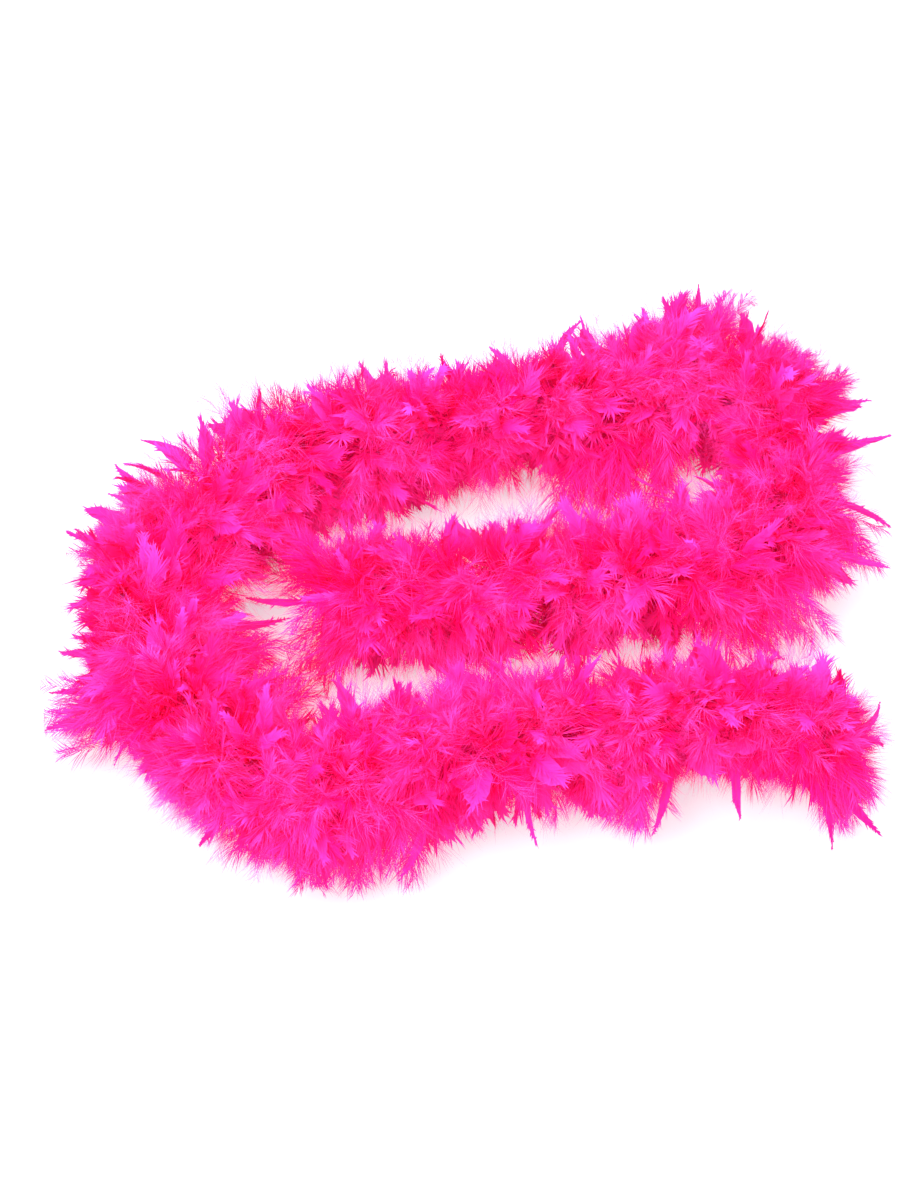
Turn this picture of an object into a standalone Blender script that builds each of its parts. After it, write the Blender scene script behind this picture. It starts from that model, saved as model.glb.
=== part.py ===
"""Feather boa laid on a flat surface in a loose flat spiral.

Metres, +Z up. The origin is on the surface, under the middle of the boa's box.
The boa is a core cord with feathers trapped in its twist. The feathers are short sections, threaded on the
core one after another. At each end the core has a thread whipping, a knot and two loose string tails.
The cord has no real hinge: where the boa is picked up or swung aside, one named bend stands in for it.
"""

from math import cos, pi, radians, sin

import bmesh
import bpy
from mathutils import Vector

# Feather sections: a hub round the core, with ridges for the feathers that fan out from it.
FLUFF_RADIUS = 0.056  # from the core to the feathers' outside
FLATTENING = 0.006  # how far the boa's own weight presses its underside flat
RIDGES = 8
RIDGE_WIDTH = 0.006  # across the outside of a ridge
HUB_WALL = 0.0015  # round the pocket that holds a knot
END_ROUNDING = 0.020  # radius that rounds both ends of a section
SECTION_GAP = 0.0008  # between two sections on one stretch
BEND_GAP = 0.036  # between two sections at a bend that moves

# Core cord: two plies twisted together, shown as one round cord.
CORE_DIAMETER = 0.0038
CORE_HEIGHT = FLUFF_RADIUS - FLATTENING
CORE_POINT_SPACING = 0.0225
CORE_SIDE_RESOLUTION = 2  # bevel steps that give 8 sides
CORE_TRIM = 0.0012  # from a moving bend to the end of each cord beside it
CLEARANCE = 0.0004  # between pieces that touch on the real boa
BORE_SIDES = RIDGES

# End fittings.
WHIPPING_LENGTH = 0.012
WHIPPING_THICKNESS = 0.0009
WHIPPING_INSET = 0.0025  # from the cord's end to the whipping
WHIPPING_SIDES = 2 * BORE_SIDES
KNOT_RADIUS = 0.0045
KNOT_SEGMENTS = 12
KNOT_RINGS = 8
TAIL_DIAMETER = 0.0017
TAIL_LENGTH = 0.024
TAIL_STEPS = 5
TAIL_SPREAD = 0.35  # sideways share of a tail's length
TAIL_DROOP = 0.30  # downward share of a tail's length
END_LIP = 0.004  # how far the last section reaches past the knot

# Where the core lies, seen from above, from the boa's outer end to its inner end.
ROUTE = [
    (0.258, -0.155), (0.211, -0.137), (0.155, -0.135), (0.095, -0.146), (0.033, -0.155),
    (-0.028, -0.167), (-0.082, -0.185), (-0.135, -0.193), (-0.184, -0.175), (-0.224, -0.132),
    (-0.248, -0.078), (-0.254, -0.018), (-0.233, 0.039), (-0.191, 0.086), (-0.136, 0.119),
    (-0.077, 0.138), (-0.020, 0.145), (0.038, 0.152), (0.095, 0.171), (0.151, 0.191),
    (0.197, 0.191), (0.233, 0.168), (0.252, 0.128), (0.251, 0.082), (0.230, 0.039),
    (0.191, 0.009), (0.143, -0.004), (0.092, -0.008), (0.041, -0.012), (-0.009, -0.019),
    (-0.059, -0.027), (-0.107, -0.025),
]
STEPS_PER_SPAN = 24  # samples of the smooth curve between two route points

# Stretches from the outer end to the inner end: the cord's name, how far along the core the stretch
# ends, and its groups of feather sections. None means the core's own end.
STRETCHES = [
    ("lower_end", 0.250, [("lower_end_feathers", 3)]),
    ("lower_run", 0.500, [("lower_run_feathers", 3)]),
    ("spiral", 1.400, [("left_bend_feathers", 4), ("top_run_feathers", 4), ("right_bend_feathers", 4)]),
    ("middle_run", 1.550, [("middle_run_feathers", 2)]),
    ("inner_end", None, [("inner_end_feathers", 2)]),
]
# Which stretch each moving stretch hangs on. The spiral is the fixed one.
PARENTS = {"lower_end": "lower_run", "lower_run": "spiral", "middle_run": "spiral", "inner_end": "middle_run"}


def clear_scene():
    for thing in list(bpy.data.objects):
        bpy.data.objects.remove(thing, do_unlink=True)


def material(name, colour, roughness):
    made = bpy.data.materials.new(name)
    made.use_nodes = True
    shader = made.node_tree.nodes["Principled BSDF"]
    shader.inputs["Base Color"].default_value = (*colour, 1.0)
    shader.inputs["Roughness"].default_value = roughness
    shader.inputs["Metallic"].default_value = 0.0
    return made


class Line:
    """A chain of points that is read by the distance along it, and runs straight on past both ends."""

    def __init__(self, points, stations=None):
        self.points = points
        self.stations = stations or self.measured(points)
        self.length = self.stations[-1]

    @staticmethod
    def measured(points):
        found = [0.0]
        for a, b in zip(points, points[1:]):
            found.append(found[-1] + (b - a).length)
        return found

    def span(self, s):
        i = 0
        while i < len(self.points) - 2 and self.stations[i + 1] < s:
            i += 1
        return i

    def at(self, s):
        i = self.span(s)
        share = (s - self.stations[i]) / (self.stations[i + 1] - self.stations[i])
        return self.points[i].lerp(self.points[i + 1], share)

    def along(self, s):
        reach = CORE_DIAMETER
        return (self.at(s + reach) - self.at(s - reach)).normalized()


def smooth_line(route):
    """A Catmull-Rom curve through the route's points, at the core's height."""
    flat = [Vector((x, y, CORE_HEIGHT)) for x, y in route]
    first = 2 * flat[0] - flat[1]
    last = 2 * flat[-1] - flat[-2]
    held = [first, *flat, last]
    points = []
    for a, b, c, d in zip(held, held[1:], held[2:], held[3:]):
        for step in range(STEPS_PER_SPAN):
            t = step / STEPS_PER_SPAN
            points.append(
                0.5 * (2 * b + (c - a) * t + (2 * a - 5 * b + 4 * c - d) * t**2 + (3 * b - a - 3 * c + d) * t**3)
            )
    points.append(flat[-1])
    return Line(points)


def cord_line(smooth, start, end):
    """The straight chords that the cord's tube follows between two stations of the smooth line."""
    count = max(2, round((end - start) / CORE_POINT_SPACING))
    stations = [start + (end - start) * i / count for i in range(count + 1)]
    return Line([smooth.at(s) for s in stations], stations)


def ring(mesh, centre, along, spokes):
    """Vertices round the line and square to it, one for each (turn from straight up, radius), none below
    the surface the boa lies on."""
    side = along.cross(Vector((0, 0, 1))).normalized()
    up = side.cross(along)
    verts = []
    for turn, radius in spokes:
        point = centre + radius * (side * sin(turn) + up * cos(turn))
        point.z = max(point.z, 0.0)
        verts.append(mesh.verts.new(point))
    return verts


def round_spokes(radius, sides):
    return [(2 * pi * i / sides, radius) for i in range(sides)]


def ridged_spokes(radius):
    """The hub in the valleys and two corners on each ridge. A valley points straight down, so that the boa
    rests on two ridges."""
    spokes = []
    for i in range(RIDGES):
        valley, crest = 2 * pi * i / RIDGES, 2 * pi * (i + 0.5) / RIDGES
        half = RIDGE_WIDTH / (2 * FLUFF_RADIUS)
        spokes += [(valley, pocket_radius() + HUB_WALL), (crest - half, radius), (crest + half, radius)]
    return spokes


def skin(mesh, rings):
    for a, b in zip(rings, rings[1:]):
        for i in range(len(a)):
            j = (i + 1) % len(a)
            mesh.faces.new((a[i], a[j], b[j], b[i]))


def annulus(mesh, outer, inner):
    """The flat end between a bore ring and an outer ring with a whole number of vertices for each of its."""
    step = len(outer) // len(inner)
    for i in range(len(inner)):
        j = (i + 1) % len(inner)
        rim = [outer[(i * step + k) % len(outer)] for k in range(step + 1)]
        mesh.faces.new((*rim, inner[j], inner[i]))


def finish(mesh, name, finish_material, parent, smooth_angle=None):
    """Closes a bmesh into an object that hangs on its stretch's empty."""
    bmesh.ops.recalc_face_normals(mesh, faces=mesh.faces)
    bmesh.ops.translate(mesh, verts=mesh.verts, vec=-origin_of(parent))
    data = bpy.data.meshes.new(name)
    mesh.to_mesh(data)
    mesh.free()
    if smooth_angle is not None:
        data.shade_smooth()
        data.set_sharp_from_angle(angle=smooth_angle)
    data.materials.append(finish_material)
    made = bpy.data.objects.new(name, data)
    made.parent = parent
    bpy.context.scene.collection.objects.link(made)
    return made


def origin_of(empty):
    """Where an unturned empty stands in the world."""
    place = Vector((0, 0, 0))
    while empty is not None:
        place += empty.location
        empty = empty.parent
    return place


def sleeve(name, line, bore_line, outer, bore, finish_material, parent):
    """A body along a line, with a bore right through. outer is (station, spokes) and bore (station, radius)."""
    mesh = bmesh.new()
    outside = [ring(mesh, line.at(s), line.along(s), spokes) for s, spokes in outer]
    inside = [ring(mesh, bore_line.at(s), line.along(s), round_spokes(r, BORE_SIDES)) for s, r in bore]
    skin(mesh, outside)
    skin(mesh, inside)
    annulus(mesh, outside[0], inside[0])
    annulus(mesh, outside[-1], inside[-1])
    return finish(mesh, name, finish_material, parent, radians(40))


def section_profile(start, end):
    """A feather section's outline: rounded ends and a full middle."""
    core_side = FLUFF_RADIUS - END_ROUNDING
    turns = [0.0, pi / 4, pi / 2]
    first = [(start + END_ROUNDING * (1 - cos(t)), core_side + END_ROUNDING * sin(t)) for t in turns]
    last = [(end - END_ROUNDING * (1 - cos(t)), core_side + END_ROUNDING * sin(t)) for t in reversed(turns)]
    middle = ((start + end) / 2, FLUFF_RADIUS)
    return [(s, ridged_spokes(radius)) for s, radius in (*first, middle, *last)]


def bore_radius():
    """Wide enough for the cord, measured across the flats of the bore's sides."""
    return (CORE_DIAMETER / 2 + CLEARANCE) / cos(pi / BORE_SIDES)


def pocket_radius():
    return (max(KNOT_RADIUS, CORE_DIAMETER / 2 + WHIPPING_THICKNESS) + 2 * CLEARANCE) / cos(pi / BORE_SIDES)


def bore_profile(cord, start, end):
    """The bore's stations: both faces, and each corner of the cord's chords between them."""
    corners = [s for s in cord.stations if start < s < end]
    pocket = WHIPPING_INSET + CLEARANCE + WHIPPING_LENGTH + 2 * CLEARANCE
    found = [(s, bore_radius()) for s in (start, *corners, end)]
    if start < 0:
        kept = [(s, r) for s, r in found if s > pocket]
        return [(start, pocket_radius()), (pocket, pocket_radius()), (pocket, bore_radius()), *kept]
    if end > cord.stations[-1]:
        wall = cord.stations[-1] - pocket
        kept = [(s, r) for s, r in found if s < wall]
        return [*kept, (wall, bore_radius()), (wall, pocket_radius()), (end, pocket_radius())]
    return found


def cord(name, line, diameter, finish_material, parent):
    data = bpy.data.curves.new(name, "CURVE")
    data.dimensions = "3D"
    data.bevel_depth = diameter / 2
    data.bevel_resolution = CORE_SIDE_RESOLUTION
    data.use_fill_caps = True
    spline = data.splines.new("POLY")
    spline.points.add(len(line.points) - 1)
    base = origin_of(parent)
    for point, place in zip(spline.points, line.points):
        point.co = (*(place - base), 1.0)
    data.materials.append(finish_material)
    made = bpy.data.objects.new(name, data)
    made.parent = parent
    bpy.context.scene.collection.objects.link(made)
    return made


def knot(name, centre, finish_material, parent):
    """A ball, laid ring by ring between its two poles."""
    mesh = bmesh.new()
    turns = [2 * pi * i / KNOT_SEGMENTS for i in range(KNOT_SEGMENTS)]
    rings = []
    for row in range(1, KNOT_RINGS):
        height, width = KNOT_RADIUS * cos(pi * row / KNOT_RINGS), KNOT_RADIUS * sin(pi * row / KNOT_RINGS)
        rings.append([mesh.verts.new(centre + Vector((width * cos(t), width * sin(t), height))) for t in turns])
    top, bottom = (mesh.verts.new(centre + Vector((0, 0, KNOT_RADIUS * sign))) for sign in (1, -1))
    for i in range(KNOT_SEGMENTS):
        j = (i + 1) % KNOT_SEGMENTS
        mesh.faces.new((top, rings[0][i], rings[0][j]))
        mesh.faces.new((bottom, rings[-1][j], rings[-1][i]))
        for upper, lower in zip(rings, rings[1:]):
            mesh.faces.new((upper[i], lower[i], lower[j], upper[j]))
    return finish(mesh, name, finish_material, parent, radians(60))


def tail_line(start, outward, sign):
    """One loose ply: straight out of the knot, then spreading sideways and drooping."""
    side = outward.cross(Vector((0, 0, 1))).normalized() * sign
    points = []
    for i in range(TAIL_STEPS + 1):
        share = i / TAIL_STEPS
        out = TAIL_LENGTH * share
        spread = TAIL_DIAMETER * 0.75 + TAIL_SPREAD * out * share
        points.append(start + outward * out + side * spread - Vector((0, 0, TAIL_DROOP * out * share)))
    return Line(points)


def end_fittings(place, smooth, core, at_start, materials, parent):
    """The whipping, knot and two tails at one end of the core."""
    end = 0.0 if at_start else smooth.length
    inward = 1 if at_start else -1
    outward = smooth.along(end) * -inward
    near, far = WHIPPING_INSET, WHIPPING_INSET + WHIPPING_LENGTH
    stations = sorted((end + inward * near, end + inward * far))
    inner = CORE_DIAMETER / 2 + CLEARANCE
    outer = inner + WHIPPING_THICKNESS - CLEARANCE / 2
    sleeve(
        f"{place}_whipping", core, core, [(s, round_spokes(outer, WHIPPING_SIDES)) for s in stations],
        [(s, inner / cos(pi / BORE_SIDES)) for s in stations], materials["thread"], parent,
    )
    tip = core.at(end)
    centre = tip + outward * (CLEARANCE + KNOT_RADIUS)
    knot(f"{place}_knot", centre, materials["core"], parent)
    start = centre + outward * (KNOT_RADIUS + CLEARANCE)
    for label, sign in (("a", 1), ("b", -1)):
        cord(f"{place}_tail_{label}", tail_line(start, outward, sign), TAIL_DIAMETER, materials["core"], parent)


def cover_past_end():
    """How far the last section reaches past the cord's end, over the knot."""
    return 2 * (CLEARANCE + KNOT_RADIUS) + END_LIP


def stretch_limits(smooth):
    """Each stretch's name, groups, first station and last station, between the moving bends."""
    start = 0.0
    found = []
    for name, end, groups in STRETCHES:
        stop = smooth.length if end is None else end
        found.append((name, groups, start, stop))
        start = stop
    return found


def empties(smooth, limits):
    """An empty on each moving bend, and one at the origin for the fixed stretch."""
    bends = {}
    for name, _, start, stop in limits:
        after_parent = name in ("middle_run", "inner_end")
        bends[name] = smooth.at(start if after_parent else stop) if name in PARENTS else Vector((0, 0, 0))
    made = {name: bpy.data.objects.new(f"bend_of_{name}", None) for name in bends}
    for name, empty in made.items():
        bpy.context.scene.collection.objects.link(empty)
        parent = PARENTS.get(name)
        empty.location = bends[name] - (bends[parent] if parent else Vector((0, 0, 0)))
        empty.parent = made[parent] if parent else None
    return made


def feather_sections(groups, start, stop, smooth, core, colour, parent):
    """Equal sections from start to stop, named by their groups."""
    names = [f"{group}_{i + 1}" for group, count in groups for i in range(count)]
    length = (stop - start - SECTION_GAP * (len(names) - 1)) / len(names)
    for i, name in enumerate(names):
        first = start + i * (length + SECTION_GAP)
        last = first + length
        outer = section_profile(first, last)
        sleeve(name, smooth, core, outer, bore_profile(core, first, last), colour, parent)


def build():
    clear_scene()
    materials = {
        "feathers": material("feathers", (0.95, 0.01, 0.30), 0.85),
        "core": material("core_string", (0.80, 0.02, 0.28), 0.90),
        "thread": material("binding_thread", (0.70, 0.01, 0.22), 0.60),
    }
    smooth = smooth_line(ROUTE)
    limits = stretch_limits(smooth)
    parents = empties(smooth, limits)
    for name, groups, start, stop in limits:
        first, last = start == 0.0, stop == smooth.length
        core = cord_line(smooth, start + (0 if first else CORE_TRIM), stop - (0 if last else CORE_TRIM))
        cord(f"{name}_core", core, CORE_DIAMETER, materials["core"], parents[name])
        begin = -cover_past_end() if first else start + BEND_GAP / 2
        end = stop + cover_past_end() if last else stop - BEND_GAP / 2
        feather_sections(groups, begin, end, smooth, core, materials["feathers"], parents[name])
        if first:
            end_fittings("lower_end", smooth, core, True, materials, parents[name])
        if last:
            end_fittings("inner_end", smooth, core, False, materials, parents[name])


build()
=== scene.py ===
from math import cos, pi, radians, sin

import bpy
import numpy as np
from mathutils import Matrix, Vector


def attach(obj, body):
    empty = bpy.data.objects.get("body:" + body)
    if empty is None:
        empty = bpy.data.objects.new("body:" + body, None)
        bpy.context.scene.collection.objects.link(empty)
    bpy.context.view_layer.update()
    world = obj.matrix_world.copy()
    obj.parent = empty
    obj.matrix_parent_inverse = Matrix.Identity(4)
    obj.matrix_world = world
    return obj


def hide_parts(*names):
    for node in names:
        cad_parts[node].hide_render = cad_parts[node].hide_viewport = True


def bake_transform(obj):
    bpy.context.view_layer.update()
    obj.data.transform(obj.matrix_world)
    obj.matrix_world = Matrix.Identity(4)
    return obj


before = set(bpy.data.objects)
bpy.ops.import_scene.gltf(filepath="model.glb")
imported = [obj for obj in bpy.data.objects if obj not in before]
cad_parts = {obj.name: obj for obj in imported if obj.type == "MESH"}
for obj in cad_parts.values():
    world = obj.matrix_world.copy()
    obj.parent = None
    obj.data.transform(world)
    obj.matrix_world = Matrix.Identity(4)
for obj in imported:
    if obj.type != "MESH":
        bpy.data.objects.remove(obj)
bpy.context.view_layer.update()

# ---------------------------------------------------------------- sizes, in metres

CAMERA_TARGET = (-0.0234, 0.0083, 0.0)
CAMERA_DISTANCE = 1.62
CAMERA_ELEVATION = radians(55)

CORE_HEIGHT = 0.050
CORE_TRIM = 0.0012  # each stretch of the core stops this far short of a bend
STEPS_PER_SPAN = 24  # of the smooth route, between two of its points
# The core's route from the outer end to the inner end, as in the CAD source.
ROUTE = [
    (0.258, -0.155), (0.211, -0.137), (0.155, -0.135), (0.095, -0.146), (0.033, -0.155),
    (-0.028, -0.167), (-0.082, -0.185), (-0.135, -0.193), (-0.184, -0.175), (-0.224, -0.132),
    (-0.248, -0.078), (-0.254, -0.018), (-0.233, 0.039), (-0.191, 0.086), (-0.136, 0.119),
    (-0.077, 0.138), (-0.020, 0.145), (0.038, 0.152), (0.095, 0.171), (0.151, 0.191),
    (0.197, 0.191), (0.233, 0.168), (0.252, 0.128), (0.251, 0.082), (0.230, 0.039),
    (0.191, 0.009), (0.143, -0.004), (0.092, -0.008), (0.041, -0.012), (-0.009, -0.019),
    (-0.059, -0.027), (-0.107, -0.025),
]
# Places along the core are stations: metres from its outer end.
# Body, first station, last station (None is the core's end), and how many feather sections in each group.
STRETCHES = [
    ("lower_end", 0.0, 0.250, [("lower_end_feathers", 3)]),
    ("lower_run", 0.250, 0.500, [("lower_run_feathers", 3)]),
    ("spiral", 0.500, 1.400, [
        ("left_bend_feathers", 4), ("top_run_feathers", 4), ("right_bend_feathers", 4),
    ]),
    ("middle_run", 1.400, 1.550, [("middle_run_feathers", 2)]),
    ("inner_end", 1.550, None, [("inner_end_feathers", 2)]),
]
# Child body: parent body, the bend's station, and which way along the core the child lies.
BENDS = {
    "lower_end": ("lower_run", 0.250, -1),
    "lower_run": ("spiral", 0.500, -1),
    "middle_run": ("spiral", 1.400, 1),
    "inner_end": ("middle_run", 1.550, 1),
}

# The feathers stay inside these, which are a little past the CAD box, and bend off them this softly.
FLOOR_LIFT = 0.0004
CEILING = 0.1120
SIDES = (0.333, 0.267)
FLOOR_SOFTNESS = 0.0025
CEILING_SOFTNESS = 0.0012
SIDE_SOFTNESS = 0.0015

UP = np.array((0.0, 0.0, 1.0))


# ---------------------------------------------------------------- camera

def make_camera():
    back = Vector((0, -cos(CAMERA_ELEVATION), sin(CAMERA_ELEVATION)))
    data = bpy.data.cameras.new("camera")
    data.lens = 60
    data.sensor_width = 36
    data.sensor_fit = "AUTO"
    data.clip_start = 0.05
    camera = bpy.data.objects.new("camera", data)
    camera.location = Vector(CAMERA_TARGET) + CAMERA_DISTANCE * back
    camera.rotation_euler = (pi / 2 - CAMERA_ELEVATION, 0, 0)
    bpy.context.scene.collection.objects.link(camera)
    bpy.context.scene.camera = camera


make_camera()


# ---------------------------------------------------------------- the core's line

def unit(v):
    return v / np.maximum(np.linalg.norm(v, axis=-1, keepdims=True), 1e-9)


def smooth_route():
    """Stations and points of a Catmull-Rom curve through the route."""
    flat = np.array([(x, y, CORE_HEIGHT) for x, y in ROUTE])
    held = np.vstack([2 * flat[0] - flat[1], flat, 2 * flat[-1] - flat[-2]])
    points = []
    for a, b, c, d in zip(held, held[1:], held[2:], held[3:]):
        for step in range(STEPS_PER_SPAN):
            t = step / STEPS_PER_SPAN
            square, cube = 2 * a - 5 * b + 4 * c - d, 3 * b - a - 3 * c + d
            points.append(0.5 * (2 * b + (c - a) * t + square * t**2 + cube * t**3))
    points.append(flat[-1])
    points = np.array(points)
    steps = np.linalg.norm(np.diff(points, axis=0), axis=1)
    return np.concatenate([[0.0], np.cumsum(steps)]), points


STATIONS, POINTS = smooth_route()
CORE_LENGTH = float(STATIONS[-1])


def core_point(s):
    """Points on the core at the stations s. It runs straight on past both ends."""
    s = np.asarray(s, float)
    held = np.clip(s, 0.0, CORE_LENGTH)
    found = np.stack([np.interp(held, STATIONS, POINTS[:, i]) for i in range(3)], axis=-1)
    first, last = unit(POINTS[1] - POINTS[0]), unit(POINTS[-1] - POINTS[-2])
    found = found + np.minimum(s, 0.0)[..., None] * first
    return found + np.maximum(s - CORE_LENGTH, 0.0)[..., None] * last


def core_along(s):
    """The core's direction, smoothed over 8 mm."""
    return unit(core_point(np.asarray(s) + 0.004) - core_point(np.asarray(s) - 0.004))


def core_frame(s):
    """Point, direction, sideways and up at each station."""
    along = core_along(s)
    side = unit(np.cross(along, UP))
    return core_point(s), along, side, np.cross(side, along)


# ---------------------------------------------------------------- meshes from arrays

# Each strip and tube takes a little room in the UV map, so that its faces aren't slivers there.
RIBBON_UV = 0.012
TUBE_UV = (0.024, 0.008)


class Batch:
    """Vertices, faces and UVs of one piece, gathered before its mesh is made."""

    def __init__(self):
        self.verts, self.uvs = [], []
        self.quads, self.quad_slots = [], []
        self.tris, self.tri_slots = [], []
        self.count = 0

    def add(self, verts, uvs, quads, tris, slot):
        self.verts.append(verts.reshape(-1, 3))
        self.uvs.append(uvs.reshape(-1, 2))
        if len(quads):
            self.quads.append(quads.reshape(-1, 4) + self.count)
            self.quad_slots.append(np.full(quads.size // 4, slot))
        if len(tris):
            self.tris.append(tris.reshape(-1, 3) + self.count)
            self.tri_slots.append(np.full(tris.size // 3, slot))
        self.count += verts.size // 3

    def build(self, name, materials, settle=True):
        verts = np.concatenate(self.verts)
        if settle:
            verts = settled(verts)
        uvs = np.clip(np.concatenate(self.uvs), 0.004, 0.996)
        quads = np.concatenate(self.quads) if self.quads else np.zeros((0, 4), int)
        tris = np.concatenate(self.tris) if self.tris else np.zeros((0, 3), int)
        slots = np.concatenate(self.quad_slots + self.tri_slots)
        loops = np.concatenate([quads.ravel(), tris.ravel()])
        starts = np.concatenate([4 * np.arange(len(quads)), 4 * len(quads) + 3 * np.arange(len(tris))])
        mesh = bpy.data.meshes.new(name)
        mesh.vertices.add(len(verts))
        mesh.vertices.foreach_set("co", verts.astype(np.float32).ravel())
        mesh.loops.add(len(loops))
        mesh.loops.foreach_set("vertex_index", loops.astype(np.int32))
        mesh.polygons.add(len(starts))
        mesh.polygons.foreach_set("loop_start", starts.astype(np.int32))
        mesh.polygons.foreach_set("material_index", slots.astype(np.int32))
        mesh.update(calc_edges=True)
        layer = mesh.uv_layers.new(name="OFBake")
        layer.data.foreach_set("uv", uvs[loops].astype(np.float32).ravel())
        mesh.validate()
        mesh.shade_smooth()
        for made in materials:
            mesh.materials.append(made)
        piece = bpy.data.objects.new(name, mesh)
        bpy.context.scene.collection.objects.link(piece)
        return piece


def soft_over(x, limit, soft):
    """x, but bending smoothly so that it stays over the limit."""
    y = (x - limit) / soft
    return limit + soft * np.where(y > 20, y, np.log1p(np.exp(np.minimum(y, 20))))


def settled(verts):
    """Keeps feathers above the floor that they lie on, and inside the boa's box."""
    verts = verts.copy()
    verts[:, 2] = soft_over(verts[:, 2], FLOOR_LIFT, FLOOR_SOFTNESS)
    verts[:, 2] = -soft_over(-verts[:, 2], -CEILING, CEILING_SOFTNESS)
    for axis, reach in enumerate(SIDES):
        verts[:, axis] = soft_over(verts[:, axis], -reach, SIDE_SOFTNESS)
        verts[:, axis] = -soft_over(-verts[:, axis], -reach, SIDE_SOFTNESS)
    return verts


def ribbons(batch, lines, widths, across, tint, shade, slot):
    """Flat strips that taper to a point. lines (R, K, 3) are their middles, widths (R, K - 1) their half
    widths, across (R, K - 1, 3) the way they are wide, and tint (R,) and shade (R, K) their place in the
    colours."""
    count, stops = lines.shape[:2]
    offset = across * widths[..., None]
    verts = np.empty((count, 2 * stops - 1, 3))
    verts[:, 0:-1:2] = lines[:, :-1] - offset
    verts[:, 1:-1:2] = lines[:, :-1] + offset
    verts[:, -1] = lines[:, -1]
    uvs = np.empty((count, 2 * stops - 1, 2))
    uvs[:, 0:-1:2, 0] = tint[:, None] - RIBBON_UV / 2
    uvs[:, 1:-1:2, 0] = tint[:, None] + RIBBON_UV / 2
    uvs[:, -1, 0] = tint
    uvs[:, 0:-1:2, 1] = shade[:, :-1]
    uvs[:, 1:-1:2, 1] = shade[:, :-1]
    uvs[:, -1, 1] = shade[:, -1]
    base = (np.arange(count) * (2 * stops - 1))[:, None]
    last = 2 * (stops - 2)
    quads = np.concatenate([base + np.array((k, k + 1, k + 3, k + 2)) for k in range(0, last, 2)])
    tris = base + np.array((last, last + 1, last + 2))
    batch.add(verts, uvs, quads, tris, slot)


def tubes(batch, lines, radii, sides, tint, shade, slot=0, facing=None):
    """Round tapering tubes. lines (R, K, 3), radii (R, K), tint (R,), shade (R, K). facing (R, 3) is any way
    that a line never runs."""
    count, stops = lines.shape[:2]
    along = unit(np.gradient(lines, axis=1))
    if facing is None:
        facing = np.broadcast_to(np.array((0.31, 0.2, 0.93)), (count, 3))
    side = unit(np.cross(along, facing[:, None]))
    up = np.cross(side, along)
    turn = 2 * pi * np.arange(sides) / sides
    verts = lines[:, :, None] + radii[:, :, None, None] * (
        side[:, :, None] * np.cos(turn)[:, None] + up[:, :, None] * np.sin(turn)[:, None]
    )
    uvs = np.empty((count, stops, sides, 2))
    uvs[..., 0] = tint[:, None, None] + TUBE_UV[0] / 2 * np.cos(turn)
    uvs[..., 1] = shade[:, :, None] + TUBE_UV[1] / 2 * np.sin(turn)
    grid = np.arange(count * stops * sides).reshape(count, stops, sides)
    a, b = grid[:, :-1], grid[:, 1:]
    quads = np.stack([a, np.roll(a, -1, axis=2), np.roll(b, -1, axis=2), b], axis=-1)
    batch.add(verts, uvs, quads, np.zeros((0, 3), int), slot)


def helix(centre, side, up, radius, turns):
    """A line wound round another. turns is the angle at each of its points."""
    return centre + radius * (side * np.cos(turns)[:, None] + up * np.sin(turns)[:, None])


# ---------------------------------------------------------------- materials

# A colour Mix node's sockets share names with its other types', so they are found by number.
MIX_FACTOR, MIX_A, MIX_B, MIX_RESULT = 0, 6, 7, 2


def ramp(tree, factor, stops):
    node = tree.nodes.new("ShaderNodeValToRGB")
    ramp_stops = node.color_ramp.elements
    while len(ramp_stops) < len(stops):
        ramp_stops.new(0.5)
    for stop, (place, colour) in zip(ramp_stops, stops):
        stop.position = place
        stop.color = (*colour, 1)
    tree.links.new(factor, node.inputs["Fac"])
    return node.outputs["Color"]


def dye_and_painted_light(name, deep, pale, roughness, sheen, specular):
    """Dyed feather or string: v in the UV map runs from root to tip, u from the deepest dyed to the palest.
    deep and pale are each the colours at the root, nearly half way and at the tip; on the feathers the darker
    roots are painted shade and the paler tips painted light."""
    made = bpy.data.materials.new(name)
    made.use_nodes = True
    tree = made.node_tree
    principled = tree.nodes["Principled BSDF"]
    principled.inputs["Roughness"].default_value = roughness
    principled.inputs["Sheen Weight"].default_value = sheen
    principled.inputs["Sheen Roughness"].default_value = 0.5
    principled.inputs["Sheen Tint"].default_value = (1.0, 0.15, 0.65, 1)
    principled.inputs["Specular IOR Level"].default_value = specular
    uv = tree.nodes.new("ShaderNodeUVMap")
    uv.uv_map = "OFBake"
    split = tree.nodes.new("ShaderNodeSeparateXYZ")
    tree.links.new(uv.outputs["UV"], split.inputs["Vector"])
    mix = tree.nodes.new("ShaderNodeMix")
    mix.data_type = "RGBA"
    tree.links.new(split.outputs["X"], mix.inputs[MIX_FACTOR])
    for colours, socket in ((deep, MIX_A), (pale, MIX_B)):
        stops = list(zip((0.0, 0.45, 1.0), colours))
        tree.links.new(ramp(tree, split.outputs["Y"], stops), mix.inputs[socket])
    tree.links.new(mix.outputs[MIX_RESULT], principled.inputs["Base Color"])
    return made


# On the down and the vanes the darker root colours are painted shade of the depths near the core, and the
# paler tip colours are painted light.
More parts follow.
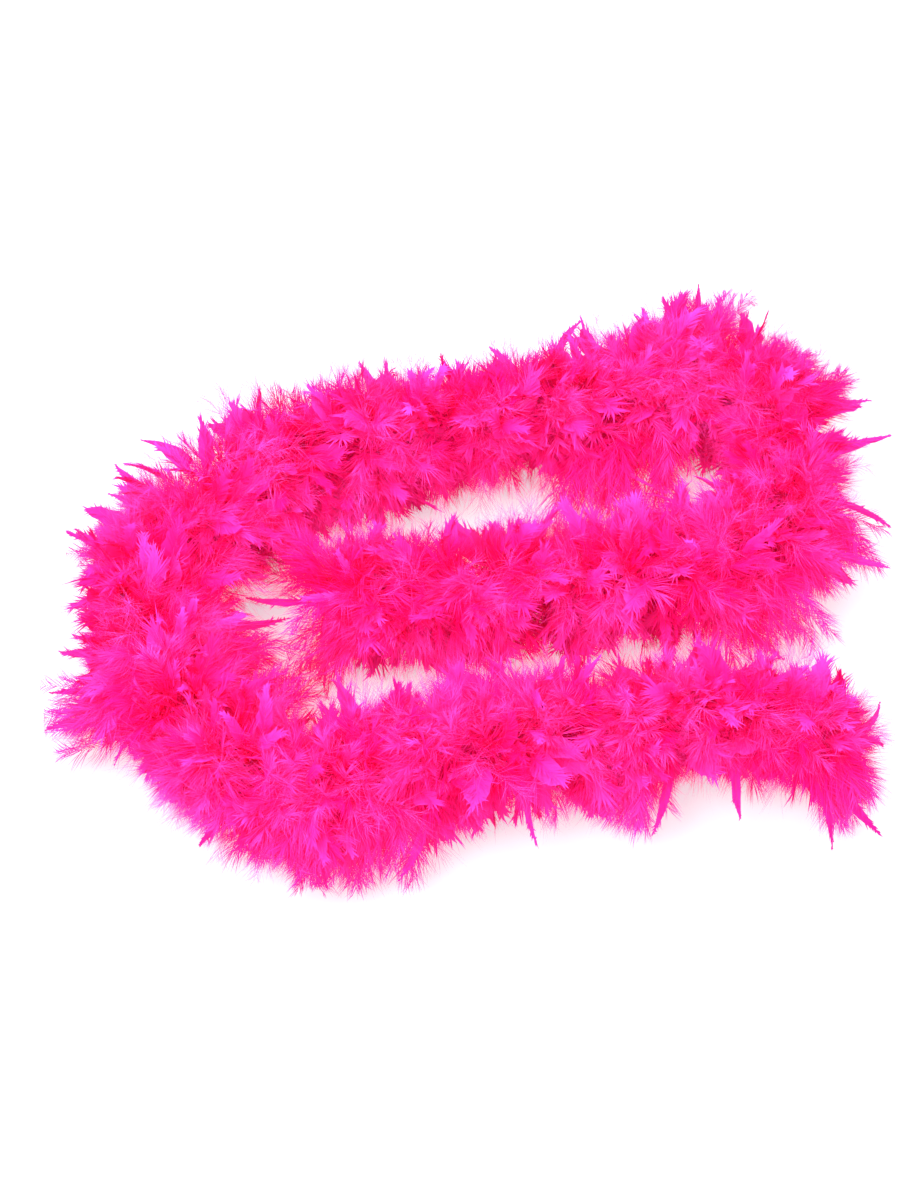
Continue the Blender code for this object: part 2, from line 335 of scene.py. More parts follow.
DOWN = dye_and_painted_light(
    "down",
    deep=((0.93, 0.0004, 0.045), (0.97, 0.001, 0.160), (0.98, 0.008, 0.29)),
    pale=((0.96, 0.001, 0.140), (0.98, 0.012, 0.34), (1.0, 0.085, 0.60)),
    roughness=0.9, sheen=0.08, specular=0.05,
)
VANE = dye_and_painted_light(
    "vane",
    deep=((0.92, 0.0004, 0.05), (0.95, 0.001, 0.16), (0.93, 0.005, 0.25)),
    pale=((0.96, 0.001, 0.14), (0.97, 0.015, 0.37), (0.97, 0.060, 0.56)),
    roughness=0.7, sheen=0.06, specular=0.10,
)
QUILL = dye_and_painted_light(
    "quill",
    deep=((0.70, 0.001, 0.07), (0.62, 0.001, 0.08), (0.45, 0.006, 0.09)),
    pale=((0.80, 0.002, 0.11), (0.75, 0.003, 0.13), (0.58, 0.012, 0.15)),
    roughness=0.42, sheen=0.0, specular=0.5,
)
STRING = dye_and_painted_light(
    "core_string",
    deep=((0.62, 0.004, 0.16), (0.70, 0.006, 0.20), (0.78, 0.010, 0.26)),
    pale=((0.70, 0.006, 0.22), (0.78, 0.012, 0.28), (0.86, 0.030, 0.38)),
    roughness=0.95, sheen=0.4, specular=0.1,
)
THREAD = dye_and_painted_light(
    "binding_thread",
    deep=((0.50, 0.002, 0.12), (0.60, 0.003, 0.16), (0.66, 0.006, 0.20)),
    pale=((0.60, 0.004, 0.16), (0.68, 0.008, 0.22), (0.75, 0.020, 0.28)),
    roughness=0.55, sheen=0.2, specular=0.4,
)


# ---------------------------------------------------------------- core, knots, whippings and tails

CORE_STEP = 0.0008
PLY_RADIUS = 0.00098
PLY_OFFSET = 0.00093  # of a ply's middle from the core's
PLY_PITCH = 0.0088
LOCK_RADIUS = 0.00026
LOCK_OFFSET = 0.00195
LOCK_PITCH = -0.0052  # wound against the plies' twist
KNOT_RADIUS = 0.0045
KNOT_SIZE = 0.00098  # scales the knot's curve
KNOT_PLY_RADIUS = 0.00075
KNOT_PLY_OFFSET = 0.0006
KNOT_TWISTS = 9
CLEARANCE = 0.0004
WHIPPING_INSET = 0.0025
WHIPPING_LENGTH = 0.012
WHIPPING_PITCH = 0.00055
WHIPPING_OFFSET = 0.0025
WHIPPING_THREAD_RADIUS = 0.0003
TAIL_LENGTH = 0.024
TAIL_START = 0.00128  # to the side
TAIL_SPREAD = 0.0084
TAIL_DROOP = 0.0072
TAIL_STRANDS = 7


def blend_at(piece):
    """The piece beside a bend keeps where it is: its placing is baked into its mesh, and it joins no body."""
    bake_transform(piece)


def core_piece(body, first, last, way):
    """Two plies twisted together and a locking thread round them, along one stretch. way is -1 where the
    piece starts at the stretch's far end."""
    stations = np.linspace(first, last, max(2, round((last - first) / CORE_STEP)))[::way]
    centre, _, side, up = core_frame(stations)
    batch = Batch()
    turn = 2 * pi * stations / PLY_PITCH
    plies = np.stack([helix(centre, side, up, PLY_OFFSET, turn + shift) for shift in (0.0, pi)])
    shade = np.broadcast_to(0.5 + 0.45 * np.sin(0.37 * turn), plies.shape[:2])
    tubes(batch, plies, np.full(plies.shape[:2], PLY_RADIUS), 6, np.array((0.2, 0.7)), shade)
    thread = helix(centre, side, up, LOCK_OFFSET, 2 * pi * stations / LOCK_PITCH)[None]
    radii, shade = (np.full(thread.shape[:2], value) for value in (LOCK_RADIUS, 0.4))
    tubes(batch, thread, radii, 4, np.array((0.5,)), shade, slot=1)
    piece = batch.build(f"{body}_string", [STRING, THREAD], settle=False)
    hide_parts(f"{body}_core")
    return piece, centre


def knot_piece(place, centre, outward):
    """An overhand knot of the two-ply string, as a closed trefoil."""
    t = np.linspace(0, 2 * pi, 61)
    side = unit(np.cross(outward, UP))
    up = np.cross(side, outward)
    x, y, z = np.sin(t) + 2 * np.sin(2 * t), np.cos(t) - 2 * np.cos(2 * t), -1.25 * np.sin(3 * t)
    middle = centre + KNOT_SIZE * (x[:, None] * side + y[:, None] * up + z[:, None] * outward)
    along = unit(np.gradient(middle, axis=0))
    across = unit(np.cross(along, np.array((0.2, 0.3, 0.93))))
    over = np.cross(along, across)
    radii, shade = np.full((1, len(t)), KNOT_PLY_RADIUS), np.linspace(0.1, 0.9, len(t))[None]
    batch = Batch()
    for shift, tint in ((0.0, 0.25), (pi, 0.7)):
        ply = helix(middle, across, over, KNOT_PLY_OFFSET, KNOT_TWISTS * t + shift)[None]
        tubes(batch, ply, radii, 6, np.array((tint,)), shade)
    piece = batch.build(f"{place}_overhand_knot", [STRING], settle=False)
    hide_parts(f"{place}_knot")
    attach(piece, place)
    return piece


def whipping_piece(place, first, last):
    """Tight turns of thread round the string."""
    turns = round((last - first) / WHIPPING_PITCH)
    share = np.linspace(0, 1, turns * 10)
    stations = np.linspace(first, last, turns * 10)
    centre, _, side, up = core_frame(stations)
    coil = helix(centre, side, up, WHIPPING_OFFSET, 2 * pi * turns * share)[None]
    batch = Batch()
    shade = 0.5 + 0.4 * np.sin(np.arange(len(stations)) * 0.41)[None]
    tubes(batch, coil, np.full(coil.shape[:2], WHIPPING_THREAD_RADIUS), 5, np.array((0.5,)), shade)
    piece = batch.build(f"{place}_thread_whipping", [THREAD], settle=False)
    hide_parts(f"{place}_whipping")
    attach(piece, place)
    return piece


def tail_piece(place, label, start, outward, sign, rng):
    """One loose ply past the knot, untwisting into fine strands."""
    side = unit(np.cross(outward, UP)) * sign
    share = np.linspace(0, 1, 25)[:, None]
    spread = TAIL_START + TAIL_SPREAD * share**2
    middle = start + outward * TAIL_LENGTH * share + side * spread - UP * TAIL_DROOP * share**2
    along = unit(np.gradient(middle, axis=0))
    across = unit(np.cross(along, UP))
    over = np.cross(across, along)
    strands = []
    for k in range(TAIL_STRANDS):
        opening = 0.00045 + (0.0006 + 0.0028 * rng.random()) * share**3
        turn = 2 * pi * k / TAIL_STRANDS + 5 * share
        strands.append(middle + opening * (across * np.cos(turn) + over * np.sin(turn)))
    strands = np.array(strands)
    radii = np.broadcast_to(0.00042 - 0.00022 * share[:, 0] ** 2, strands.shape[:2])
    shade = np.broadcast_to(share[:, 0], strands.shape[:2])
    batch = Batch()
    tubes(batch, strands, radii, 4, 0.1 + 0.8 * rng.random(TAIL_STRANDS), shade)
    piece = batch.build(f"{place}_frayed_tail_{label}", [STRING], settle=False)
    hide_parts(f"{place}_tail_{label}")
    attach(piece, place)
    return piece


def end_pieces(place, at_start):
    """The knot, whipping and two tails at one end of the core."""
    rng = np.random.default_rng(11 if at_start else 12)
    end = 0.0 if at_start else CORE_LENGTH
    inward = 1 if at_start else -1
    outward = core_along(end) * -inward
    centre = core_point(end) + outward * (KNOT_RADIUS + CLEARANCE)
    start = centre + outward * (KNOT_RADIUS + CLEARANCE)
    near, far = WHIPPING_INSET, WHIPPING_INSET + WHIPPING_LENGTH
    first, last = sorted((end + inward * near, end + inward * far))
    return [
        knot_piece(place, centre, outward),
        whipping_piece(place, first, last),
        tail_piece(place, "a", start, outward, 1, rng),
        tail_piece(place, "b", start, outward, -1, rng),
    ]


def make_core():
    for body, first, last, _ in STRETCHES:
        at_start, at_end = first == 0.0, last is None
        first = first if at_start else first + CORE_TRIM
        last = CORE_LENGTH if at_end else last - CORE_TRIM
        way = BENDS[body][2] if body in BENDS else 1
        piece, path = core_piece(body, first, last, way)
        others = end_pieces(body, at_start) if at_start or at_end else []
        if body in BENDS:
            blend_at(piece)
        else:
            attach(piece, body)


make_core()


# ---------------------------------------------------------------- one feather

BARB_STOPS = 3
VANE_STOPS = 8
# Lengths of barbs up a quill, as shares of the longest: where on the barbs' span, and how long.
FLUFFY = ((0.0, 0.25, 0.7, 1.0), (0.75, 1.0, 0.85, 0.45))
LOWER_DOWN = ((0.0, 0.4, 1.0), (0.8, 1.0, 0.6))
POINTED_BARBS = ((0.0, 0.3, 0.75, 1.0), (0.55, 1.0, 0.75, 0.35))
ROUNDED_BARBS = ((0.0, 0.3, 0.75, 1.0), (0.55, 0.95, 1.0, 0.6))
# Widths of blades from their first point to the tip, likewise.
POINTED = ((0.0, 0.3, 0.7, 1.0), (0.45, 0.95, 0.7, 0.0))
ROUNDED = ((0.0, 0.2, 0.5, 0.85, 1.0), (0.45, 0.85, 1.0, 0.75, 0.15))


def bezier(held, t):
    """Points and directions at t (N, M) on curves with control points held (N, 4, 3)."""
    t = t[..., None]
    a = 1 - t
    p, q, r, s = (held[:, None, k] for k in range(4))
    point = a**3 * p + 3 * a * a * t * q + 3 * a * t * t * r + t**3 * s
    return point, unit(3 * (a * a * (q - p) + 2 * a * t * (r - q) + t * t * (s - r)))


def quills(stations, turn, lean, swirl, length, curl, sag, rng):
    """Control points of the quills: out of the core at a lean, then curling towards swirl and sagging. Also
    the way each feather's outer face looks."""
    base, along, side, up = core_frame(stations)
    out = side * np.sin(turn)[:, None] + up * np.cos(turn)[:, None]
    heading = out * np.cos(lean)[:, None] + along * np.sin(lean)[:, None]
    bend = unit(np.cross(heading, swirl + 0.5 * rng.normal(size=heading.shape)))
    # Three lengths, each turned a little further than the last.
    d1 = unit(heading + bend * (0.5 * curl)[:, None] - UP * (0.35 * sag)[:, None])
    d2 = unit(d1 + bend * (0.8 * curl)[:, None] - UP * (0.5 * sag)[:, None])
    reach = length[:, None]
    p0 = base + out * 0.0015
    p1 = p0 + 0.38 * reach * heading
    p2 = p1 + 0.32 * reach * d1
    p3 = p2 + 0.30 * reach * d2
    facing = unit(out + 0.7 * UP + 0.35 * rng.normal(size=out.shape))
    return np.stack([p0, p1, p2, p3], axis=1), facing


def barbs(
    batch, held, facing, span, count, reach, profile, sweep, splay, width, tint, rng,
    wisp=4, pull=0.35, droop=0.25, hug=0.6, tumble=0.15, shades=(0.0, 1.0), slot=0,
):
    """Barbs up both sides of each quill, count to a side, between the two shares of its length in span.

    reach is the longest barb's length (N,), profile its share along the span, sweep the first and last angle
    from the quill, splay how far the barbs leave the feather's own plane, and width the half width at their
    roots. wisp neighbours lean together and are drawn to one tip by pull, droop and hug bend them down and
    along the quill, and tumble turns their flat sides. shades are the colours' places at the root and tip."""
    n = len(held)
    share = (np.arange(count) + rng.random((n, 2, count))) / count
    t = span[0] + (span[1] - span[0]) * share
    point, along = bezier(held, t.reshape(n, -1))
    face = np.broadcast_to(facing[:, None], point.shape)
    side = unit(np.cross(along, face))
    normal = np.cross(side, along)
    sign = np.repeat(np.array((-1.0, 1.0)), count)[None, :, None]
    share = share.reshape(n, -1)
    angle = sweep[0] + (sweep[1] - sweep[0]) * share + 0.12 * rng.normal(size=share.shape)
    groups = -(-2 * count // wisp)
    leaf = np.repeat(rng.normal(size=(n, groups)), wisp, axis=1)[:, : 2 * count]
    lift = splay * (0.8 * leaf + 0.45 * rng.normal(size=share.shape))
    heading = along * np.cos(angle)[..., None] + np.sin(angle)[..., None] * (
        sign * side * np.cos(lift)[..., None] + normal * np.sin(lift)[..., None]
    )
    shared = np.repeat(rng.normal(size=(n, groups, 3)), wisp, axis=1)[:, : 2 * count]
    length = reach[:, None] * np.interp(share, *profile) * (0.8 + 0.4 * rng.random(share.shape))
    bend = hug * along + 0.35 * shared + 0.2 * rng.normal(size=shared.shape) - droop * UP
    tip = point + length[..., None] * (heading + 0.5 * bend)
    middles = [tip[:, g * wisp : (g + 1) * wisp].mean(axis=1, keepdims=True) for g in range(groups)]
    drawn = np.concatenate([np.repeat(m, wisp, axis=1) for m in middles], axis=1)[:, : 2 * count]
    bend = bend + 2 * pull * (drawn - tip) / np.maximum(length[..., None], 1e-6)
    u = np.linspace(0, 1, BARB_STOPS)
    heading, bend, point = (x.reshape(-1, 1, 3) for x in (heading, bend, point))
    length = length.reshape(-1, 1, 1)
    lines = point + length * (u[:, None] * heading + 0.5 * (u**2)[:, None] * bend)
    flow = unit(np.diff(lines, axis=1))
    face = np.repeat(facing, 2 * count, axis=0)
    face = unit(face + tumble * rng.normal(size=face.shape))
    across = unit(np.cross(flow, face[:, None]))
    taper = np.interp(u[:-1], (0.0, 0.35, 1.0), (0.8, 1.0, 0.35))
    widths = width * taper * (0.7 + 0.6 * rng.random((len(lines), 1)))
    up_quill = t.reshape(-1, 1)
    low, high = shades
    # Painted shade and light: the colour's place runs from dark low on the quill and at the barb's root, near
    # the core, to pale at the tips.
    shade = low + (high - low) * np.clip(0.72 * up_quill + 0.28 * u * (0.75 + 0.25 * up_quill), 0, 1)
    hue = np.repeat(tint, 2 * count) + 0.025 * rng.normal(size=len(lines))
    ribbons(batch, lines, widths, across, np.clip(hue, 0.02, 0.98), shade, slot)


def quill_tubes(batch, held, facing, thick, tint, stops, until=1.0, slot=1):
    """The quills themselves, from the core to the share until of their length."""
    n = len(held)
    t = np.broadcast_to(np.linspace(0, until, stops), (n, stops))
    lines, _ = bezier(held, t)
    radii = thick[:, None] * np.interp(t, (0, 0.6, 1), (1.0, 0.6, 0.18))
    tubes(batch, lines, radii, 3, tint, np.clip(t, 0.01, 0.99), slot, facing)


def vanes(batch, held, facing, span, half, profile, tint, rng, slot):
    """The webbed blade under the barbs of a feather's upper part: a strip either side of the quill, its edges
    bent back, running to its tip."""
    n, stops = len(held), VANE_STOPS
    t = np.broadcast_to(np.linspace(*span, stops), (n, stops))
    share = (t - span[0]) / (span[1] - span[0])
    point, along = bezier(held, t)
    side = unit(np.cross(along, np.broadcast_to(facing[:, None], point.shape)))
    normal = np.cross(side, along)
    wide = half[:, None] * np.interp(share, *profile)
    grid = np.empty((n, stops, 3, 3))
    grid[:, :, 1] = point
    for column, sign in ((0, -1), (2, 1)):
        ragged = wide * (0.85 + 0.3 * rng.random(wide.shape))
        outward = ragged[..., None] * (sign * side - 0.22 * normal)
        grid[:, :, column] = point + outward - along * (0.25 * ragged)[..., None]
    uvs = np.empty((n, stops, 3, 2))
    uvs[..., 0] = tint[:, None, None] + np.array((-0.02, 0.0, 0.02))
    # Painted shade and light: the blade darkens towards its root near the core and pales towards its tip.
    uvs[..., 1] = np.clip(0.35 + 0.6 * share, 0, 0.98)[..., None]
    index = np.arange(n * stops * 3).reshape(n, stops, 3)
    a, b = index[:, :-1], index[:, 1:]
    halves = [np.stack([a[..., k], a[..., k + 1], b[..., k + 1], b[..., k]], axis=-1) for k in (0, 1)]
    quads = np.concatenate([half_quads.reshape(-1, 4) for half_quads in halves])
    batch.add(grid, uvs, quads, np.zeros((0, 3), int), slot)


def fluff(batch, held, facing, tint, rng):
    """Soft down all the way up each quill."""
    count = len(held)
    barbs(
        batch, held, facing, (0.06, 0.99), 54, rng.uniform(0.018, 0.028, count), FLUFFY, (1.2, 0.45), 0.7,
        0.00027, tint, rng, wisp=5, pull=0.3, droop=0.3, hug=0.5,
    )
    quill_tubes(batch, held, facing, np.full(count, 0.0003), tint, stops=4, until=0.9)


def haze(batch, held, facing, tint, rng):
    """Sparse down so fine that it only veils what is behind it."""
    count = len(held)
    barbs(
        batch, held, facing, (0.3, 0.99), 26, rng.uniform(0.020, 0.032, count), FLUFFY, (1.3, 0.5), 1.0,
        0.00010, tint, rng, wisp=3, pull=0.1, droop=0.2, hug=0.3, shades=(0.5, 1.0),
    )


def dress(batch, held, facing, half, tint, rng, start=0.48, rounded=False):
    """Down on the lower part of each quill and a webbed blade on the upper part, from the share start on."""
    count = len(held)
    profile, barb_profile = (ROUNDED, ROUNDED_BARBS) if rounded else (POINTED, POINTED_BARBS)
    per_side, sweep, sine = (26, (0.85, 0.35), 0.7) if rounded else (20, (0.62, 0.3), 0.5)
    barbs(
        batch, held, facing, (0.06, start + 0.1), 26, rng.uniform(0.014, 0.021, count), LOWER_DOWN,
        (1.15, 0.7), 0.55, 0.00036, tint, rng, shades=(0.0, 0.95),
    )
    vanes(batch, held, facing, (start, 1.0), half, profile, tint, rng, slot=1)
    barbs(
        batch, held, facing, (start, 0.985), per_side, half / sine, barb_profile, sweep, 0.16, 0.00080,
        tint, rng, wisp=3, pull=0.15, droop=0.05, hug=0.3, tumble=0.06, shades=(0.1, 1.0), slot=1,
    )
    quill_tubes(batch, held, facing, np.full(count, 0.00048), tint, stops=8, slot=2)


# ---------------------------------------------------------------- where the feathers are

# Feathers to a metre of core, feathers to a tuft, and their length, curl and sag.
PLUMES = (2200, 9, (0.038, 0.056), (0.3, 1.1), (0.1, 0.6))
HAZE = (640, 2, (0.056, 0.074), (0.3, 0.9), (0.1, 0.5))
POINTED_BLADES = (440, 3, (0.052, 0.074), (0.4, 1.3), (0.2, 0.8))
ROUNDED_BLADES = (400, 2, (0.052, 0.068), (0.5, 1.4), (0.3, 0.8))
END_FEATHERS = 0.002  # the end feathers grow from this far past the core's ends
END_STRETCH = 0.020  # where feathers that lean out past an end are shorter
UNDERSIDE = 2.6  # turns from straight up, past which the boa lies on its feathers


# How full the boa is upwards, and along the core: station, then shares to the spiral's inside and outside.
TOP_FULLNESS = 1.04
FULLNESS = [
    (0.00, 0.82, 0.66), (0.10, 0.86, 0.72), (0.20, 1.10, 0.98), (0.30, 1.06, 0.96),
    (0.40, 1.12, 1.06), (0.48, 1.12, 0.80), (0.55, 1.25, 1.12), (0.62, 1.15, 1.10),
    (0.70, 1.35, 1.15), (0.78, 1.25, 1.20), (0.86, 1.15, 1.04), (0.94, 0.90, 0.92),
    (1.02, 0.94, 1.10), (1.08, 1.00, 1.05), (1.15, 1.15, 1.25), (1.21, 1.10, 1.20),
    (1.24, 1.06, 0.88), (1.27, 1.05, 0.77), (1.33, 1.05, 1.00), (1.40, 1.05, 1.02),
    (1.48, 1.05, 0.98), (1.55, 0.98, 1.02), (1.63, 1.00, 1.05), (1.70, 1.05, 1.00),
]
# Tufts that stand out of the fluff: station, middle of the tips, how far they spread, and how many.
TUFTS = [
    (0.53, (-0.312, -0.122, 0.032), 0.013, 26),
    (0.02, (0.268, -0.200, 0.030), 0.010, 28),
    (0.00, (0.272, -0.128, 0.042), 0.010, 18),
    (0.01, (0.276, -0.178, 0.036), 0.010, 20),
    (1.35, (0.272, 0.004, 0.036), 0.014, 44),
    (1.16, (0.196, 0.248, 0.078), 0.014, 40),
    (1.21, (0.262, 0.218, 0.050), 0.013, 34),
    (0.38, (-0.120, -0.248, 0.030), 0.013, 34),
    (0.65, (-0.310, 0.040, 0.040), 0.012, 18),
    (1.70, (-0.148, 0.022, 0.040), 0.012, 34),
    (1.67, (-0.126, -0.066, 0.032), 0.012, 26),
    (1.42, (0.222, -0.050, 0.032), 0.014, 22),
    (1.39, (0.250, -0.036, 0.032), 0.012, 12),
    (1.32, (0.300, 0.030, 0.044), 0.010, 22),
    (1.23, (0.298, 0.192, 0.050), 0.011, 24),
    (0.33, (-0.080, -0.244, 0.030), 0.012, 26),
    (0.14, (0.108, -0.198, 0.030), 0.012, 24),
    (0.56, (-0.170, -0.070, 0.034), 0.012, 30),
    (0.47, (-0.142, -0.088, 0.032), 0.012, 26),
    (1.06, (0.080, 0.084, 0.030), 0.013, 24),
    (1.09, (0.114, 0.096, 0.032), 0.014, 28),
    (1.12, (0.150, 0.108, 0.034), 0.014, 28),
    (1.45, (0.132, 0.078, 0.034), 0.012, 20),
    (0.30, (-0.044, -0.186, 0.094), 0.012, 26),
    (0.28, (-0.058, -0.198, 0.088), 0.010, 18),
]
# Single feathers that reach out of it: station, tip, half width and bow to one side.
STRAYS = [
    (0.50, (-0.333, -0.130, 0.024), 0.0045, 0.10), (0.55, (-0.329, -0.106, 0.040), 0.0035, -0.15),
    (0.64, (-0.331, 0.040, 0.048), 0.0045, 0.12), (0.68, (-0.302, 0.080, 0.048), 0.0035, 0.20),
    (0.70, (-0.298, 0.108, 0.052), 0.0040, -0.15), (0.74, (-0.278, 0.130, 0.055), 0.0040, 0.18),
    (0.80, (-0.210, 0.152, 0.060), 0.0055, -0.30), (0.87, (-0.101, 0.212, 0.060), 0.0045, 0.20),
    (1.04, (0.089, 0.250, 0.070), 0.0040, -0.25), (1.10, (0.140, 0.262, 0.074), 0.0035, 0.20),
    (1.15, (0.186, 0.266, 0.098), 0.0035, 0.08), (1.17, (0.206, 0.262, 0.086), 0.0040, -0.10),
    (1.22, (0.331, 0.178, 0.050), 0.0035, 0.15), (1.24, (0.316, 0.196, 0.050), 0.0045, -0.12),
    (1.26, (0.333, 0.112, 0.084), 0.0040, 0.18), (1.28, (0.326, 0.128, 0.060), 0.0050, 0.10),
    (1.31, (0.330, 0.044, 0.050), 0.0045, -0.12), (1.34, (0.324, 0.006, 0.048), 0.0045, 0.15),
    (0.01, (0.301, -0.118, 0.046), 0.0030, 0.45), (0.00, (0.300, -0.156, 0.044), 0.0028, -0.40),
    (0.02, (0.290, -0.224, 0.034), 0.0050, 0.15), (0.03, (0.255, -0.236, 0.030), 0.0040, -0.15),
    (0.06, (0.190, -0.212, 0.034), 0.0045, 0.20), (0.12, (0.124, -0.226, 0.034), 0.0045, -0.15),
    (0.20, (0.041, -0.236, 0.034), 0.0035, 0.35), (0.31, (-0.060, -0.262, 0.034), 0.0040, -0.20),
    (0.37, (-0.112, -0.266, 0.030), 0.0060, 0.12), (0.44, (-0.206, -0.234, 0.034), 0.0040, -0.12),
    (0.50, (-0.274, -0.168, 0.034), 0.0025, 0.50), (0.60, (-0.316, -0.040, 0.040), 0.0040, 0.15),
    (1.08, (0.119, 0.096, 0.026), 0.0022, 0.45), (1.03, (0.072, 0.080, 0.026), 0.0022, -0.35),
    (1.40, (0.128, 0.088, 0.040), 0.0022, 0.30), (1.05, (0.160, 0.085, 0.040), 0.0020, 0.40),
    (1.67, (-0.120, -0.096, 0.020), 0.0024, 0.35), (1.69, (-0.186, -0.010, 0.030), 0.0040, -0.20),
    (0.60, (-0.150, -0.030, 0.030), 0.0045, 0.20), (1.43, (0.238, -0.066, 0.024), 0.0035, 0.15),
]
# Broad feathers with rounded tips that lie over the fluff.
PETALS = [
    (1.19, (0.224, 0.244, 0.082), 0.0075, 0.10), (1.25, (0.318, 0.168, 0.054), 0.0070, -0.12),
    (0.66, (-0.318, 0.066, 0.046), 0.0080, 0.15), (0.36, (-0.124, -0.252, 0.036), 0.0085, -0.10),
    (1.34, (0.294, -0.004, 0.040), 0.0085, 0.12), (0.78, (-0.222, 0.146, 0.056), 0.0085, 0.20),
    (0.31, (-0.040, -0.200, 0.088), 0.0095, 0.15), (1.12, (0.120, 0.128, 0.080), 0.0090, -0.15),
]


def fullness(stations, turn):
    marks, inner, outer = np.array(FULLNESS).T
    lean = np.sin(turn)
    sideways = np.where(lean > 0, np.interp(stations, marks, inner), np.interp(stations, marks, outer))
    return TOP_FULLNESS + abs(lean) * (sideways - TOP_FULLNESS)


def around(count, rng):
    """Turns about the core from straight up, with fewer straight down, where the boa lies on them."""
    turn = rng.uniform(-pi, pi, count)
    low = np.abs(turn) > UNDERSIDE
    turn[low & (rng.random(count) < 0.6)] *= 0.6
    return turn


def tufts(count, each, first, last, rng):
    """Stations, turns, leans, swirls and sizes of feathers that stand in tufts of about each, as they are
    caught in the twist of the core, and their tints."""
    tufts_here = max(1, round(count / each))
    pick = rng.integers(0, tufts_here, count)
    station = first + (last - first) * (np.arange(tufts_here) + rng.random(tufts_here)) / tufts_here
    station = np.clip(station[pick] + rng.normal(0, 0.004, count), first, last)
    turn = around(tufts_here, rng)[pick] + rng.normal(0, 0.30, count)
    lean = rng.normal(0, 0.50, tufts_here)[pick] + rng.normal(0, 0.28, count)
    swirl = rng.normal(size=(tufts_here, 3))[pick]
    size = rng.uniform(0.86, 1.12, tufts_here)[pick]
    tint = np.clip(rng.beta(1.1, 1.25, tufts_here)[pick] + rng.normal(0, 0.10, count), 0.03, 0.97)
    return station, turn, lean, swirl, size, tint


def tufted_quills(kind, first, last, rng):
    """Control points, facings and tints of one kind of feather between two stations."""
    density, each, size, curl, sag = kind
    count = round(density * (last - first))
    stations, turn, lean, swirl, big, tint = tufts(count, each, first, last, rng)
    length = fullness(stations, turn) * big * rng.uniform(*size, count)
    past_start = np.where(stations < END_STRETCH, -lean, 0.0)
    past_end = np.where(stations > CORE_LENGTH - END_STRETCH, lean, 0.0)
    length = length * (1.0 - 0.30 * np.clip(past_start + past_end, 0.0, 1.0))
    curl, sag = rng.uniform(*curl, count), rng.uniform(*sag, count)
    return *quills(stations, turn, lean, swirl, length, curl, sag, rng), tint


def aimed(rows, rng, spread=None):
    """Quills from stations on the core to given tips: up out of the fluff, then over and down. spread is how
    far each tip may stray; without it each row gives its own bow."""
    base = core_point([row[0] for row in rows])
    tip = np.array([row[1] for row in rows], float)
    if spread is not None:
        tip = tip + spread[:, None] * rng.normal(size=tip.shape)
        bow = 0.15 * rng.normal(size=len(rows))
    else:
        bow = np.array([row[3] for row in rows])
    base = base + 0.006 * rng.normal(size=base.shape) * (1, 1, 0.3)
    reach = np.linalg.norm(tip - base, axis=1, keepdims=True)
    flow = unit(tip - base)
    side = unit(np.cross(flow, UP)) * bow[:, None]
    p1 = base + reach * (0.33 * flow + 0.5 * side + 0.14 * UP)
    p2 = tip - reach * (0.33 * flow - 0.7 * side - 0.10 * UP)
    facing = unit(UP + 0.3 * flow + 0.3 * rng.normal(size=tip.shape))
    return np.stack([base, p1, p2, tip], axis=1), facing


def section_list():
    """Name, body, first and last station that the section's feathers grow from, and the bend beside it."""
    found = []
    for body, start, stop, groups in STRETCHES:
        names = [f"{group}_{i + 1}" for group, count in groups for i in range(count)]
        stop = CORE_LENGTH if stop is None else stop
        first = start - (END_FEATHERS if start == 0.0 else 0.0)
        last = stop + (END_FEATHERS if stop == CORE_LENGTH else 0.0)
        edges = np.linspace(first, last, len(names) + 1)
        for name, a, b in zip(names, edges, edges[1:]):
            bends = [child for child, (_, station, _) in BENDS.items() if np.isclose((a, b), station).any()]
            found.append((name, body, a, b, bends[0] if bends else None))
    return found


def rows_on(rows, first, last):
    """The rows whose station lies on a section."""
    return [row for row in rows if first <= row[0] < last]


def fill_section(down, web, first, last, rng):
    """All the feathers between two stations: soft ones into down and those with blades into web."""
    *plumes, tint = tufted_quills(PLUMES, first, last, rng)
    fluff(down, *plumes, tint, rng)
    *fine, tint = tufted_quills(HAZE, first, last, rng)
    haze(down, *fine, 0.5 + 0.5 * tint, rng)
    for spot in rows_on(TUFTS, first, last):
        _, _, spread, count = spot
        held, facing = aimed([spot] * count, rng, spread=np.full(count, spread))
        tint = np.clip(rng.normal(rng.uniform(0.3, 0.8), 0.1, count), 0.05, 0.95)
        fluff(down, held, facing, tint, rng)
    *pointed, tint = tufted_quills(POINTED_BLADES, first, last, rng)
    dress(web, *pointed, rng.uniform(0.0045, 0.0080, len(tint)), tint, rng)
    *broad, tint = tufted_quills(ROUNDED_BLADES, first, last, rng)
    dress(web, *broad, rng.uniform(0.0080, 0.0125, len(tint)), tint, rng, start=0.36, rounded=True)
    for rows, rounded in ((rows_on(STRAYS, first, last), False), (rows_on(PETALS, first, last), True)):
        if rows:
            half = np.array([row[2] for row in rows])
            tint = rng.uniform(0.1, 0.55, len(rows))
            dress(web, *aimed(rows, rng), half, tint, rng, start=0.40, rounded=rounded)


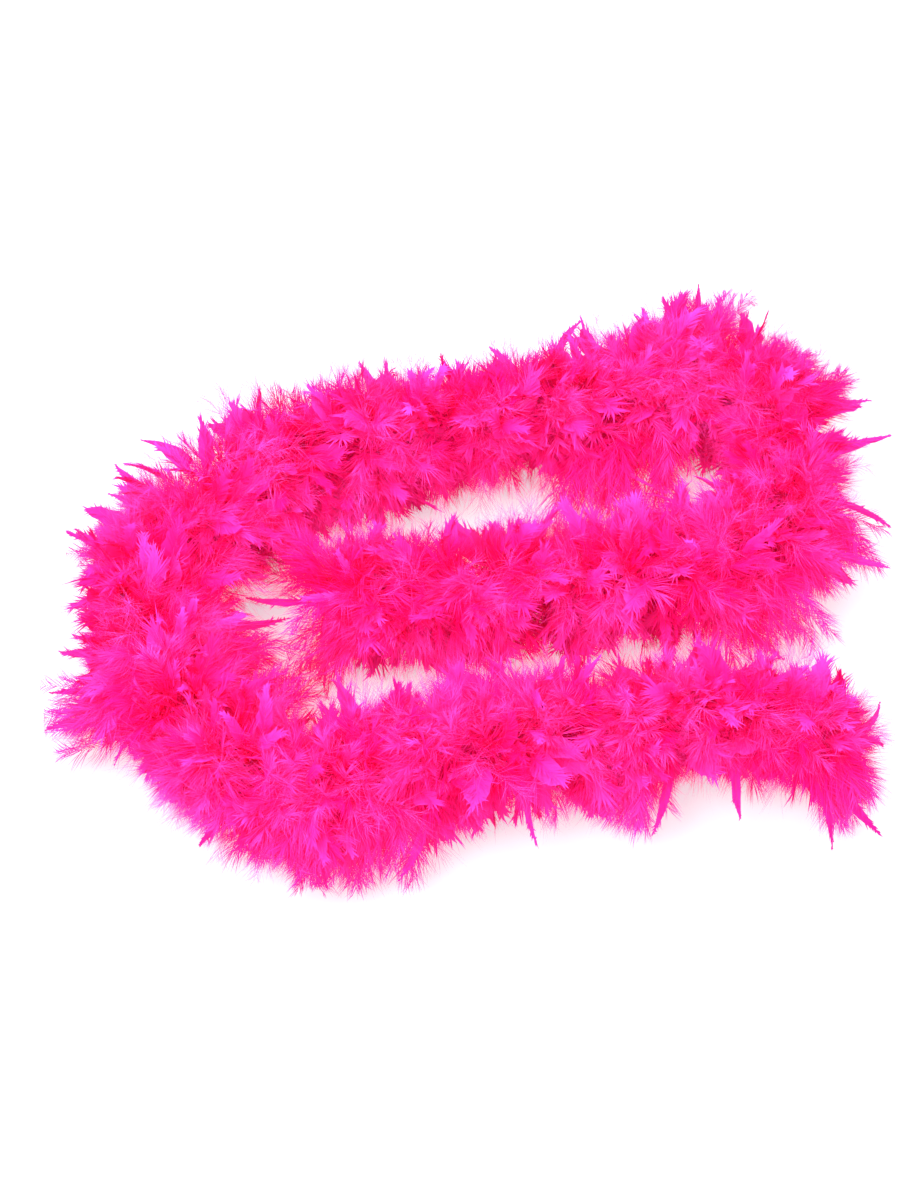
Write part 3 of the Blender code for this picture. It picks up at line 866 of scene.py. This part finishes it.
def make_feathers():
    for number, (name, body, first, last, bend) in enumerate(section_list()):
        down, web = Batch(), Batch()
        fill_section(down, web, first, last, np.random.default_rng(100 + number))
        for batch, kind, materials in ((down, "down", [DOWN, QUILL]), (web, "blades", [DOWN, VANE, QUILL])):
            piece = batch.build(f"{name}_{kind}", materials)
            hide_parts(name)
            if bend:
                blend_at(piece)
            else:
                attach(piece, body)


make_feathers()


# ---------------------------------------------------------------- floor and light

FLOOR_SIZE = 12.0
SKY_STRENGTH = 1.44
LAMP_SIZE = 1.6
# name, place and watts
LAMPS = [
    ("key", (-1.2, -0.6, 2.2), 50),
    ("back", (0.9, 1.6, 1.9), 26),
]


def make_floor():
    """A pale floor that glows a little, like a light table, so that it stays pale between the feathers."""
    mesh = bpy.data.meshes.new("floor")
    half = FLOOR_SIZE / 2
    corners = [(-half, -half, 0), (half, -half, 0), (half, half, 0), (-half, half, 0)]
    mesh.from_pydata(corners, [], [(0, 1, 2, 3)])
    made = bpy.data.materials.new("floor")
    made.use_nodes = True
    principled = made.node_tree.nodes["Principled BSDF"]
    principled.inputs["Base Color"].default_value = (0.42, 0.42, 0.42, 1)
    principled.inputs["Emission Color"].default_value = (0.95, 0.87, 0.97, 1)
    principled.inputs["Emission Strength"].default_value = 0.58
    principled.inputs["Roughness"].default_value = 0.8
    principled.inputs["Specular IOR Level"].default_value = 0.1
    mesh.materials.append(made)
    floor = bpy.data.objects.new("floor", mesh)
    bpy.context.scene.collection.objects.link(floor)


def make_light():
    world = bpy.data.worlds.new("studio")
    world.use_nodes = True
    world.node_tree.nodes["Background"].inputs["Color"].default_value = (1, 1, 1, 1)
    world.node_tree.nodes["Background"].inputs["Strength"].default_value = SKY_STRENGTH
    bpy.context.scene.world = world
    for name, spot, energy in LAMPS:
        data = bpy.data.lights.new(name, "AREA")
        data.shape = "DISK"
        data.size = LAMP_SIZE
        data.energy = energy
        lamp = bpy.data.objects.new(name, data)
        lamp.location = spot
        lamp.rotation_euler = (-Vector(spot)).to_track_quat("-Z", "Y").to_euler()
        bpy.context.scene.collection.objects.link(lamp)
    bpy.context.scene.view_settings.view_transform = "Standard"
    bpy.context.scene.cycles.diffuse_bounces = 12


make_floor()
make_light()
